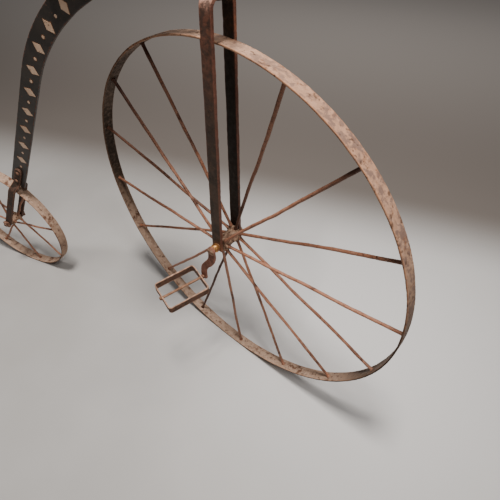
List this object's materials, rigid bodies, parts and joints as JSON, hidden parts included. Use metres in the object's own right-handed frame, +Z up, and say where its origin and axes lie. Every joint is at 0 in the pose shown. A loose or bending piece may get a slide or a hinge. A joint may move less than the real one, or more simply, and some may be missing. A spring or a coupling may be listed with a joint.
{
  "type": "penny-farthing bicycle",
  "caption": "High wheel bicycle of rusted flat and round iron bar, with a steered front wheel, one crank with a loop pedal, curved backbone, saddle and small rear wheel.",
  "frame": {"origin": "middle of the front wheel's tread facet that stands on the ground, straight under the steering axis", "axes": "+X the way the bicycle faces with its backbone in the XZ plane, +Y its left side, +Z up"},
  "size_m": [1.2436, 0.5021, 0.9463],
  "materials": {
    "rusted_iron": "brown rust over bare wrought iron, matt and pitted",
    "dark_iron": "dark blackened iron with rust along the edges",
    "painted_iron": "worn near-black paint over iron",
    "brass": "worn brass"
  },
  "bodies": {
    "frame": {"head_tube": "dark_iron", "backbone": "painted_iron", "rear_fork_right": "dark_iron", "rear_fork_left": "dark_iron", "rear_fork_rivet_1": "rusted_iron", "rear_fork_rivet_2": "rusted_iron", "rear_axle": "rusted_iron", "rear_nut_right": "rusted_iron", "rear_nut_left": "rusted_iron", "saddle_clip": "dark_iron", "saddle_clip_rivet": "rusted_iron", "saddle_spring": "dark_iron", "saddle": "rusted_iron", "saddle_rivet_1": "rusted_iron", "saddle_rivet_2": "rusted_iron"},
    "steering": {"front_fork": "dark_iron", "steering_stem": "dark_iron", "lower_washer": "rusted_iron", "upper_washer": "rusted_iron", "handlebar_lug": "dark_iron", "stem_nut": "rusted_iron", "handlebar": "dark_iron", "grip_right": "rusted_iron", "grip_left": "rusted_iron"},
    "front_wheel": {"front_rim": "rusted_iron", "front_spoke_01": "rusted_iron", "front_spoke_02": "rusted_iron", "front_spoke_03": "rusted_iron", "front_spoke_04": "rusted_iron", "front_spoke_05": "rusted_iron", "front_spoke_06": "rusted_iron", "front_spoke_07": "rusted_iron", "front_spoke_08": "rusted_iron", "front_spoke_09": "rusted_iron", "front_spoke_10": "rusted_iron", "front_spoke_11": "rusted_iron", "front_spoke_12": "rusted_iron", "front_spoke_13": "rusted_iron", "front_spoke_14": "rusted_iron", "front_spoke_15": "rusted_iron", "front_spoke_16": "rusted_iron", "front_hub": "rusted_iron", "front_axle": "rusted_iron", "crank_boss": "brass", "crank_right": "rusted_iron", "pedal_pin": "rusted_iron", "pedal_collar": "rusted_iron"},
    "pedal": {"pedal_frame": "rusted_iron"},
    "rear_wheel": {"rear_rim": "rusted_iron", "rear_spoke_01": "rusted_iron", "rear_spoke_02": "rusted_iron", "rear_spoke_03": "rusted_iron", "rear_spoke_04": "rusted_iron", "rear_spoke_05": "rusted_iron", "rear_spoke_06": "rusted_iron", "rear_spoke_07": "rusted_iron", "rear_spoke_08": "rusted_iron", "rear_hub": "rusted_iron"}
  },
  "joints": [
    {"name": "steering_turn", "type": "hinge", "parent": "frame", "child": "steering", "pos_m": [0, 0, 0.8546], "axis": [0, 0, 1], "range_deg": [-28, 62]},
    {"name": "front_wheel_spin", "type": "hinge", "parent": "steering", "child": "front_wheel", "pos_m": [0, 0, 0.381], "axis": [0.2924, 0.9563, 0], "continuous": true},
    {"name": "pedal_spin", "type": "hinge", "parent": "front_wheel", "child": "pedal", "pos_m": [-0.04243, -0.03858, 0.28017], "axis": [-0.5397, -0.8407, -0.0436], "continuous": true},
    {"name": "rear_wheel_spin", "type": "hinge", "parent": "frame", "child": "rear_wheel", "pos_m": [-0.703, 0, 0.172], "axis": [0, 1, 0], "continuous": true}
  ]
}
